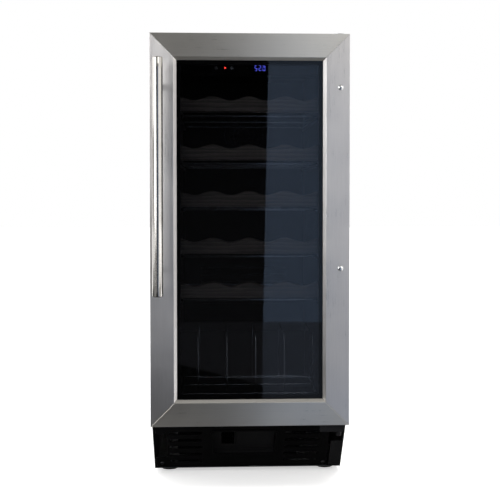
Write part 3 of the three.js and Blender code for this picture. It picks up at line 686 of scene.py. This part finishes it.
# ------------------------------------------------------------------ coils
def finned(name, node, x0, x1, y0, y1, z0, z1, pitch, rows, mats, slot, extra=None):
    bm = bmesh.new()
    n = int((x1 - x0) / pitch)
    for i in range(n + 1):
        x = x0 + 3 + (x1 - x0 - 6) * i / n
        add(bm, pbox(x - 0.22, x + 0.22, y0 + 0.6, y1 - 0.6, z0 + 1, z1 - 1, 0.0), 0)
    r = 2.6
    zs = [z0 + 8 + (z1 - z0 - 16) * k / (rows - 1) for k in range(rows)]
    ym = (y0 + y1) / 2
    path = []
    for k, z in enumerate(zs):
        a, b = (x0 + 1.5 + r, x1 - 1.5 - r)
        path += [(a, ym, z), (b, ym, z)] if k % 2 == 0 else [(b, ym, z), (a, ym, z)]
    add(bm, tube(rounded_path(path, (zs[1] - zs[0]) * 0.49, 5), r, 10), 1)
    if extra:
        extra(bm)
    return place(finish_mesh(name, bm, mats, 40), BODY_OF[node], slot, node)


def evap_ends(bm):
    for z in (343, 543):
        add(bm, tube([(106, 229, z), (112, 229, z), (117.6, 229, z)], 2.6, 12), 1)


def cond_ends_and_shade_sheet(bm):
    add(bm, tube(rounded_path([(-141.5, -30, 103.5), (-141.5, -14, 103.5), (-141.5, 39.5, 103.5)], 6), 2.9, 12), 1)
    # a dark sheet on the condenser's back face: painted shade, it keeps light from behind showing through the toe-kick
    # as pale lines
    add(bm, pbox(-144.4, 4.4, -16.6, -15.8, 15, 117, 0.0), 0)


finned("evaporator_fins", "evaporator_coil", -110, 110, 214, 234, 330, 560, 4.6, 8, [ALU, COPPER], "coil_metal", evap_ends)
finned("condenser_fins", "condenser_coil", -145, 5, -60, -15, 14, 118, 4.2, 6, [ENAMEL, ENAMEL], "machine_black", cond_ends_and_shade_sheet)

# ------------------------------------------------------------------ compressor and the rest of the machine space
comp = bmesh.new()
add(comp, lathe([(0, 34), (38, 34), (47, 35.2), (54, 39), (59.5, 45), (62.4, 53), (63.4, 62), (63.8, 84), (63.9, 103), (63.9, 108),
                 (63.9, 112), (63.3, 113), (63.0, 122), (62.2, 138), (59.5, 149), (54.5, 158.5), (47, 166), (37, 172.6), (26, 176.4), (12, 178.2), (0, 178.6)],
                (-70, 196, 0), "Z", 72))
add(comp, prism([(-142, 140), (2, 140), (2, 252), (-142, 252)], "Z", 25, 28, 0.8))
add(comp, lathe([(0, 27), (40, 27), (40, 34.5), (36, 36), (0, 36)], (-70, 196, 0), "Z", 48))
for dx, dy in ((-58, -42), (58, -42), (-58, 42), (58, 42)):
    add(comp, lathe([(0, 11.5), (9.2, 11.5), (10, 12.4), (10, 15), (8.2, 16.4), (8.2, 18.4), (10, 19.8), (10, 23.8), (9, 25), (6, 26), (0, 26)], (-70 + dx, 196 + dy, 0), "Z", 28), 1)
add(comp, tube(rounded_path([(-22, 222, 100), (-22, 222, 150), (-22, 222, 195.6)], 10), 3.9, 14), 2)
place(finish_mesh("compressor_shell", comp, [ENAMEL, GASKET, COPPER], 40), "cabinet", "machine_black", "compressor")
seam = lathe([(63.0, 107.6), (63.98, 107.8), (64.0, 110.2), (63.0, 110.4), (63.0, 107.6)], (-70, 196, 0), "Z", 72)
place(finish_mesh("compressor_seam", seam, ENAMEL), "cabinet", "machine_black")

tray = bmesh.new()
outer = prism([(-125, 148), (-30, 148), (-30, 244), (-125, 244)], "Z", 182, 200, 0)
bmesh.ops.dissolve_limit(outer, angle_limit=0.01, verts=outer.verts[:], edges=outer.edges[:])
tray_o = skin_bm("drip_tray", 0.9, 3)
outer.free()
add(tray, tray_o)
place(finish_mesh("drip_tray_shell", tray, FAN), "cabinet", "black_plastic", "drip_tray")

skin("condenser_fan_motor", ENAMEL, 0.7, 3)
skin("control_box", BOX, 1.2, 3)
skin("cord_gland", BLACK, 0.6, 3)

# ------------------------------------------------------------------ toe-kick
# the toe grille wears the darker toe-kick plastic, which is painted shade
skin("toe_grille", KICK_PAINTED_SHADE, 0.45, 3)
COVER_BLOCK = plastic("cover_block", (0.0036, 0.0036, 0.0040), 0.48, 1500.0, 0.22, 0.14)
skin("access_cover", COVER_BLOCK, 0.6, 3)
TOE_LEN = math.hypot(90, 108)
TY, TZ = 90 / TOE_LEN, 108 / TOE_LEN


def on_toe(x, s, d):
    """A point of the slanted toe plane: s runs down it and d into the cabinet."""
    return Vector((x, -195 + TY * s + TZ * d, 118 - TZ * s + TY * d))


def toe_lathe(profile, x, s, seg=32):
    """profile is (radius, depth d); turned about the toe plane's normal."""
    bm = lathe([(r, 0 - d) for r, d in profile], (0, 0, 0), "Z", seg)
    ez = Vector((0, -TZ, -TY))      # outwards
    ex = Vector((1, 0, 0))
    ey = ez.cross(ex)
    o = on_toe(x, s, 0) * MM
    for v in bm.verts:
        v.co = o + ex * v.co.x + ey * v.co.y + ez * v.co.z
    return bm


for node, x, s in (("grille_screw_left", -173, 123.5), ("grille_screw_right", 151.5, 126)):
    b = toe_lathe([(0, 9.9), (1.4, 9.9), (1.9, 9.0), (1.9, 0.3), (4.2, 0.3), (4.2, -0.2), (3.8, -1.0), (2.6, -1.45), (1.0, -1.6), (0.85, -0.9), (0, -0.7)], x, s)
    place(finish_mesh(node + "_head", b, SCREW_BLACK), "cabinet", "machine_black", node)

# ------------------------------------------------------------------ hinges
skin("upper_hinge", ZINC_BRIGHT, 0.5, 3)
skin("lower_hinge", BRACKET, 0.5, 3)

# ------------------------------------------------------------------ levelling feet
for node, (fx, fy) in zip(("foot_front_left", "foot_front_right", "foot_rear_left", "foot_rear_right"), ((-160, -62), (160, -62), (-160, 262), (160, 262))):
    lo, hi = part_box(node)
    top = hi.z / MM
    prof = [(0, 0), (16.6, 0), (17.7, 0.7), (18, 1.8), (18, 5.6), (17.4, 7.0), (15.6, 8.0), (9.0, 8.55), (4.0, 8.6)]
    z = 9.2
    while z < top - 1.2:
        prof += [(3.95, z), (3.45, z + 0.5), (3.95, z + 1.0)]
        z += 1.25
    prof += [(3.4, top - 0.3), (2.8, top), (0, top)]
    bm = lathe(prof, (fx, fy, 0), "Z", 40)
    for f in bm.faces:
        f.material_index = 1 if f.calc_center_median().z > 8.8 * MM else 0
    place(finish_mesh(node + "_pad", bm, [BLACK, ZINC_BRIGHT], 40), BODY_OF[node], SLOT_OF[node], node)

# ------------------------------------------------------------------ door
skin("frame_left", steel_v, 0.7, 3)
skin("frame_right", steel_v, 0.7, 3)
# the top and bottom rails use the darker rail tint, which is painted shade
skin("frame_top", steel_rail_painted_shade, 0.7, 3)
skin("frame_bottom", steel_rail_painted_shade, 0.7, 3)
skin("outer_glass", TINTED, 0.4, 2)
skin("inner_glass", CLEAR, 0.4, 2)
skin("glass_spacer", SPACER, 0.3, 2)
skin("door_inner_frame", BLACK, 0.35, 2)


def ring_sweep(profile, half, z0, z1):
    """A closed (u, y) profile carried round the door; u is measured inwards from the door's edge."""
    bm = bmesh.new()
    rings = []
    for sx, top in ((-1, 0), (1, 0), (1, 1), (-1, 1)):
        rings.append([bm.verts.new(Vector((sx * (half - u), y, (z1 - u) if top else (z0 + u))) * MM) for u, y in profile])
    n = len(profile)
    for i in range(4):
        a, b = rings[i], rings[(i + 1) % 4]
        for k in range(n):
            bm.faces.new((a[k], a[(k + 1) % n], b[(k + 1) % n], b[k]))
    bmesh.ops.recalc_face_normals(bm, faces=bm.faces[:])
    return bm


# bellows profile of the magnetic gasket: foot, folded neck, magnet bulb
gasket = [(22.4, -204.0), (35.6, -204.0), (35.9, -203.4), (35.2, -202.9), (33.0, -202.7), (32.4, -202.0), (33.6, -201.3), (35.4, -200.9),
          (35.9, -200.2), (35.9, -196.2), (35.4, -195.6), (34.6, -195.3), (24.0, -195.3), (22.7, -195.6), (22.1, -196.4), (22.2, -199.8),
          (23.0, -200.8), (25.2, -201.2), (26.0, -201.9), (25.0, -202.6), (22.6, -203.0), (22.2, -203.5)]
place(finish_mesh("door_gasket_bellows", ring_sweep(gasket, 188, 126, 866), GASKET, 30), "door", "gasket", "door_gasket")

bar = lathe([(0, 376.0), (8.0, 376.0), (9.1, 376.25), (9.75, 376.9), (10.0, 378.0)] + [(10.0, 378.0 + (813.5 - 378.0) * i / 24) for i in range(1, 25)]
            + [(9.75, 814.6), (9.1, 815.25), (8.0, 815.5), (0, 815.5)], (-171, -287, 0), "Z", 64)
place(finish_mesh("handle_bar_tube", bar, HANDLE), "door", "handle_steel", "handle_bar")
for node, z in (("handle_post_upper", 765.5), ("handle_post_lower", 424.5)):
    bm = bmesh.new()
    # the post's front end follows the round bar
    seg, rows = 48, []
    g = bmesh.new()
    for r, y in ((6.0, None), (6.0, -262), (6.0, -247.4), (6.3, -246.4), (7.2, -245.6), (7.4, -245.05), (2.5, -245.05), (2.5, -231.4), (2.1, -231.0)):
        row = []
        for k in range(seg):
            a = 2 * math.pi * k / seg
            dx, dz = r * math.cos(a), r * math.sin(a)
            yy = y if y is not None else -287 + math.sqrt(max(10.05 ** 2 - dx * dx, 0.0))
            row.append(g.verts.new(Vector((-171 + dx, yy, z + dz)) * MM))
        rows.append(row)
    for a, b in zip(rows, rows[1:]):
        for k in range(seg):
            g.faces.new((a[k], a[(k + 1) % seg], b[(k + 1) % seg], b[k]))
    front = g.verts.new(Vector((-171, -287 + 10.05, z)) * MM)
    for k in range(seg):
        g.faces.new((rows[0][(k + 1) % seg], rows[0][k], front))
    g.faces.new(rows[-1])
    bmesh.ops.recalc_face_normals(g, faces=g.faces[:])
    add(bm, g)
    place(finish_mesh(node + "_turned", bm, HANDLE), "door", "handle_steel", node)
for node, z in (("hole_plug_upper", 765.5), ("hole_plug_lower", 424.5)):
    b = lathe([(0, -10), (2.3, -10), (2.5, -9.6), (2.5, -0.05), (5.5, -0.05), (5.6, 0.25), (5.45, 0.85), (4.9, 1.55), (4.0, 2.1), (2.8, 2.5), (1.4, 2.73), (0, 2.8)], (171, -245, z), "-Y", 48)
    place(finish_mesh(node + "_dome", b, CHROME), "door", "handle_steel", node)

# ------------------------------------------------------------------ shelves
PITCH, HALFW = 71.0, 135.0


def shelf_front(i, z):
    bm = bmesh.new()
    rings = []
    steps = 180
    y0, y1 = -175.0, -157.0
    for k in range(steps + 1):
        x = -HALFW + 2 * HALFW * k / steps
        top = z + 26.8 + 4.15 * math.cos(2 * math.pi * x / PITCH)
        inset = 0.0
        for d, v in ((0.0, 1.5), (0.5, 0.8), (1.5, 0.15)):
            if HALFW - abs(x) <= d + 1e-6:
                inset = max(inset, v)
        prof = []
        for cy, cz, a0, r in ((y0 + 2.0, top - 2.0, 180, 2.0), (y1 - 2.0, top - 2.0, 90, 2.0), (y1 - 1.2, z + 1.2, 0, 1.2), (y0 + 1.2, z + 1.2, -90, 1.2)):
            for j in range(5):
                a = math.radians(a0 - 90 * j / 4)
                prof.append((cy + r * math.cos(a), cz + r * math.sin(a)))
        cyc, czc = (y0 + y1) / 2, (z + top) / 2
        row = []
        for py, pz in prof:
            py2 = py + (inset if py < cyc else -inset)
            pz2 = pz + (inset if pz < czc else -inset)
            row.append(bm.verts.new(Vector((x, py2, pz2)) * MM))
        rings.append(row)
    n = len(rings[0])
    for a, b in zip(rings, rings[1:]):
        for k in range(n):
            bm.faces.new((a[k], a[(k + 1) % n], b[(k + 1) % n], b[k]))
    bm.faces.new(rings[0])
    bm.faces.new(list(reversed(rings[-1])))
    o = finish_mesh(f"shelf_{i}_scalloped_front", bm, WOOD, 42)
    place(o, f"shelf_{i}", "dark_wood", f"shelf_{i}_front")


def shelf_rack(i, z):
    bm = bmesh.new()
    y0, y1, ym = -150.5, 182.5, 20.0
    zc, zw = z - 6.0, z - 5.3
    loop = rounded_path([(0, y0, zc), (134.5, y0, zc), (134.5, y1, zc), (-134.5, y1, zc), (-134.5, y0, zc), (0.01, y0, zc)], 9.0, 6)
    add(bm, tube(loop, 2.45, 12, False))
    add(bm, tube([(-134.5, ym, zc - 0.1), (0, ym, zc - 0.1), (134.5, ym, zc - 0.1)], 2.3, 12))
    for c in (-106.5, -35.5, 35.5, 106.5):
        for o in (-15, 15):
            add(bm, tube([(c + o, y0 - 1.0, zw), (c + o, -60, zw), (c + o, ym, zw), (c + o, 100, zw), (c + o, y1 + 1.0, zw)], 1.75, 10))
    for x in (-71, 71):
        add(bm, pbox(x - 8, x + 8, -156.9, -152.6, z - 4.6, z + 14, 1.0, 3), 1)
        for dz in (3.0, 9.5):
            add(bm, lathe([(0, 0), (2.2, 0), (2.2, 0.3), (1.7, 1.0), (0.9, 1.3), (0, 1.35)], (x, -152.7, z + dz), "Y", 20), 1)
    place(finish_mesh(f"shelf_{i}_wire_rack", bm, [CHROME, ENAMEL], 50), f"shelf_{i}", "chrome_wire", f"shelf_{i}_rack")


for i, z in enumerate((724, 630.5, 540, 448, 362), 1):
    shelf_front(i, z)
    shelf_rack(i, z)

# ------------------------------------------------------------------ bottom wire rack
bm = bmesh.new()
zb = 169.4
for y in (-150, -56, 38):
    add(bm, tube([(-134, y, zb), (0, y, zb), (134, y, zb)], 2.0, 10))
for x in (-134, 134):
    add(bm, tube([(x, -151.6, zb), (x, -56, zb), (x, 39.6, zb)], 2.0, 10))
for x in (-100, -43, 14, 71, 128):
    add(bm, tube(rounded_path([(x, -150, 168.6), (x, -150, 285.4), (x, 38, 285.4), (x, 38, 168.6)], 9.0, 6), 1.5, 10))
add(bm, tube([(-101.2, -150, 201.5), (14, -150, 201.5), (129.2, -150, 201.5)], 1.5, 10))
place(finish_mesh("bottom_wire_rack", bm, CHROME, 50), "cabinet", "chrome_wire", "bottom_rack")

# ------------------------------------------------------------------ stage: floor, cards and lamps
def plain(name, color, emit=None):
    m = bpy.data.materials.new(name)
    m.use_nodes = True
    p = m.node_tree.nodes["Principled BSDF"]
    p.inputs["Base Color"].default_value = (*color, 1)
    p.inputs["Roughness"].default_value = 0.9
    p.inputs["Specular IOR Level"].default_value = 0.1
    if emit:
        p.inputs["Emission Color"].default_value = (*emit[0], 1)
        p.inputs["Emission Strength"].default_value = emit[1]
    return m


def card(name, corners, mat, glossy_only=False):
    me = bpy.data.meshes.new(name)
    me.from_pydata([Vector(c) for c in corners], [], [(0, 1, 2, 3)])
    me.materials.append(mat)
    o = bpy.data.objects.new(name, me)
    COL.objects.link(o)
    if glossy_only:
        o.visible_camera = o.visible_diffuse = o.visible_transmission = o.visible_volume_scatter = o.visible_shadow = False
    return o


FLOOR = plain("floor_pale", (0.86, 0.86, 0.86))
ft = FLOOR.node_tree
fp = ft.nodes["Principled BSDF"]
ftc, fln, fmr = ft.nodes.new("ShaderNodeTexCoord"), ft.nodes.new("ShaderNodeVectorMath"), ft.nodes.new("ShaderNodeMapRange")
fln.operation = "LENGTH"
ft.links.new(ftc.outputs["Object"], fln.inputs[0])
ft.links.new(fln.outputs["Value"], fmr.inputs["Value"])
for _s, _v in (("From Min", 0.5), ("From Max", 3.0), ("To Min", 0.52), ("To Max", 0.84)):
    fmr.inputs[_s].default_value = _v
fp.inputs["Emission Color"].default_value = (1, 1, 1, 1)
ft.links.new(fmr.outputs["Result"], fp.inputs["Emission Strength"])
card("floor", [(-14, -14, 0), (14, -14, 0), (14, 14, 0), (-14, 14, 0)], FLOOR)


def gradient_card(name, low, high, z0, z1):
    """A black card whose glow runs from low at height z0 to high at height z1."""
    m = plain(name, (0.0, 0.0, 0.0), ((1, 1, 1.08), 1.0))
    t = m.node_tree
    tc_, sp_, mr_ = t.nodes.new("ShaderNodeTexCoord"), t.nodes.new("ShaderNodeSeparateXYZ"), t.nodes.new("ShaderNodeMapRange")
    t.links.new(tc_.outputs["Object"], sp_.inputs[0])
    t.links.new(sp_.outputs["Z"], mr_.inputs["Value"])
    for s_, v_ in (("From Min", z0), ("From Max", z1), ("To Min", low), ("To Max", high)):
        mr_.inputs[s_].default_value = v_
    t.links.new(mr_.outputs["Result"], t.nodes["Principled BSDF"].inputs["Emission Strength"])
    return m


BLUE = plain("card_blue_grey", (0.0, 0.0, 0.0), ((0.42, 0.56, 0.80), 1.12))
BLUE_LOW = plain("card_blue_low", (0.0, 0.0, 0.0), ((0.50, 0.58, 0.74), 0.56))
GREY = plain("card_grey", (0.0, 0.0, 0.0), ((1.0, 0.985, 0.98), 1.0))
GREY_LOW = plain("card_grey_low", (0.0, 0.0, 0.0), ((1.0, 0.985, 0.97), 0.62))
GREY_LEFT = plain("card_grey_left", (0.0, 0.0, 0.0), ((1.0, 0.985, 0.97), 0.30))
FLAG = gradient_card("flag_dark", 0.05, 0.0, 0.10, 1.05)
FLAG_FLOOR = plain("flag_floor", (0.0, 0.0, 0.0), ((1, 1, 1.12), 0.09))
SIDE_DARK = plain("card_side_dark", (0.0, 0.0, 0.0), ((1.0, 0.99, 0.98), 0.10))
LIP = plain("card_lip", (0.0, 0.0, 0.0), ((1.0, 0.985, 0.96), 0.24))
BLACKOUT = plain("flag_black", (0.0, 0.0, 0.0), ((1, 1, 1), 0.006))


def edge_x(y):
    """The floor line that continues the card's upright edge as the glass shows it."""
    return -0.0634 + (1.6716 - y) * 0.04584


# cards seen only in reflections: a black flag behind the camera, and the blue-grey card whose edge stands in the glass
card("flag_front", [(-0.92, -2.70, 0.0), (0.139, -2.70, 0.0), (0.163, -2.70, 1.17), (-0.92, -2.70, 1.17)], FLAG, True)
card("card_front", [(0.139, -2.69, 0.0), (0.41, -2.69, 0.0), (0.41, -2.69, 1.17), (0.163, -2.69, 1.17)], BLUE, True)
card("card_front_dark", [(0.41, -2.69, 0.0), (0.80, -2.69, 0.0), (0.80, -2.69, 1.17), (0.41, -2.69, 1.17)], FLAG_FLOOR, True)
card("card_front_grey", [(0.80, -2.69, 0.0), (1.90, -2.69, 0.0), (1.90, -2.69, 1.17), (0.80, -2.69, 1.17)], GREY, True)
Z1 = 0.004
near_l, near_r = (-0.195 - 0.6, -1.684 - 0.6 * 1.355), (edge_x(-1.27), -1.27)
card("floor_flag_far", [(-0.795, -8, Z1), (edge_x(-8), -8, Z1), (near_r[0], near_r[1], Z1), (near_l[0], near_l[1], Z1)], FLAG_FLOOR, True)
card("floor_flag_near", [(near_l[0], near_l[1], Z1), (near_r[0], near_r[1], Z1), (edge_x(-0.6), -0.6, Z1), (-0.795, -0.6, Z1)], BLACKOUT, True)
card("floor_flag_left", [(-6, -8, Z1), (-0.795, -8, Z1), (-0.795, -0.6, Z1), (-6, -0.6, Z1)], GREY_LEFT, True)
card("floor_card_blue", [(edge_x(-8), -8, Z1), (1.3, -8, Z1), (0.42, -0.6, Z1), (edge_x(-0.6), -0.6, Z1)], BLUE_LOW, True)
card("floor_card_grey", [(1.3, -8, Z1), (6, -8, Z1), (6, -0.6, Z1), (0.42, -0.6, Z1)], GREY_LOW, True)
card("floor_flag_side", [(-6, -0.6, Z1), (-0.45, -0.6, Z1), (-0.45, 1.4, Z1), (-6, 1.4, Z1)], SIDE_DARK, True)
card("floor_card_lip", [(-0.45, -0.6, Z1), (0.45, -0.6, Z1), (0.45, -0.31, Z1), (-0.45, -0.31, Z1)], LIP, True)
card("floor_flag_under", [(-0.45, -0.31, Z1), (0.45, -0.31, Z1), (0.45, 0.30, Z1), (-0.45, 0.30, Z1)], BLACKOUT, True)


def area(name, loc, aim, sx, sy, power, color=(1, 1, 1), glossy=True):
    d = bpy.data.lights.new(name, "AREA")
    d.shape, d.size, d.size_y, d.energy, d.color = "RECTANGLE", sx, sy, power, color
    o = bpy.data.objects.new(name, d)
    o.location = loc
    o.rotation_euler = (Vector(aim) - Vector(loc)).to_track_quat("-Z", "Y").to_euler()
    o.visible_camera = False
    o.visible_glossy = glossy
    COL.objects.link(o)
    return o


area("key_left", (-1.78, -2.05, 1.05), (-0.1, -0.2, 0.58), 1.5, 1.25, 28)
area("front_top", (0.95, -2.65, 1.90), (0.1, -0.2, 0.5), 1.5, 1.1, 8, (1.0, 0.985, 0.96))
area("right_fill", (2.1, -1.7, 1.25), (0.1, -0.1, 0.50), 2.9, 2.3, 19.5, (1.0, 0.98, 0.96))
area("left_side", (-2.35, -0.35, 1.60), (0.14, -0.24, 0.80), 2.3, 1.6, 14.5)
area("overhead", (0.0, 0.1, 3.2), (0.0, 0.0, 0.0), 3.2, 3.2, 120, (1, 1, 1), False)

w = bpy.data.worlds.new("studio")
bpy.context.scene.world = w
w.use_nodes = True
nt = w.node_tree
nt.nodes.clear()
out = nt.nodes.new("ShaderNodeOutputWorld")
bg_cam = nt.nodes.new("ShaderNodeBackground")
bg_cam.inputs["Color"].default_value = (1, 1, 1, 1)
bg_cam.inputs["Strength"].default_value = 1.0
bg = nt.nodes.new("ShaderNodeBackground")
bg.inputs["Color"].default_value = (1.0, 0.985, 0.965, 1)
tc = nt.nodes.new("ShaderNodeTexCoord")
sep = nt.nodes.new("ShaderNodeSeparateXYZ")
nt.links.new(tc.outputs["Generated"], sep.inputs[0])
mr = nt.nodes.new("ShaderNodeMapRange")
for s, v in (("From Min", -0.75), ("From Max", 0.55), ("To Min", 0.30), ("To Max", 0.85)):
    mr.inputs[s].default_value = v
nt.links.new(sep.outputs["Y"], mr.inputs["Value"])
nt.links.new(mr.outputs["Result"], bg.inputs["Strength"])
lp = nt.nodes.new("ShaderNodeLightPath")
mx = nt.nodes.new("ShaderNodeMixShader")
nt.links.new(lp.outputs["Is Camera Ray"], mx.inputs[0])
nt.links.new(bg.outputs[0], mx.inputs[1])
nt.links.new(bg_cam.outputs[0], mx.inputs[2])
nt.links.new(mx.outputs[0], out.inputs["Surface"])

sc = bpy.context.scene
sc.view_settings.view_transform = "Standard"
sc.view_settings.look = "None"
sc.view_settings.exposure = 0.0
sc.cycles.use_denoising = True
sc.cycles.max_bounces = 12
sc.cycles.transparent_max_bounces = 16
sc.cycles.sample_clamp_indirect = 6.0
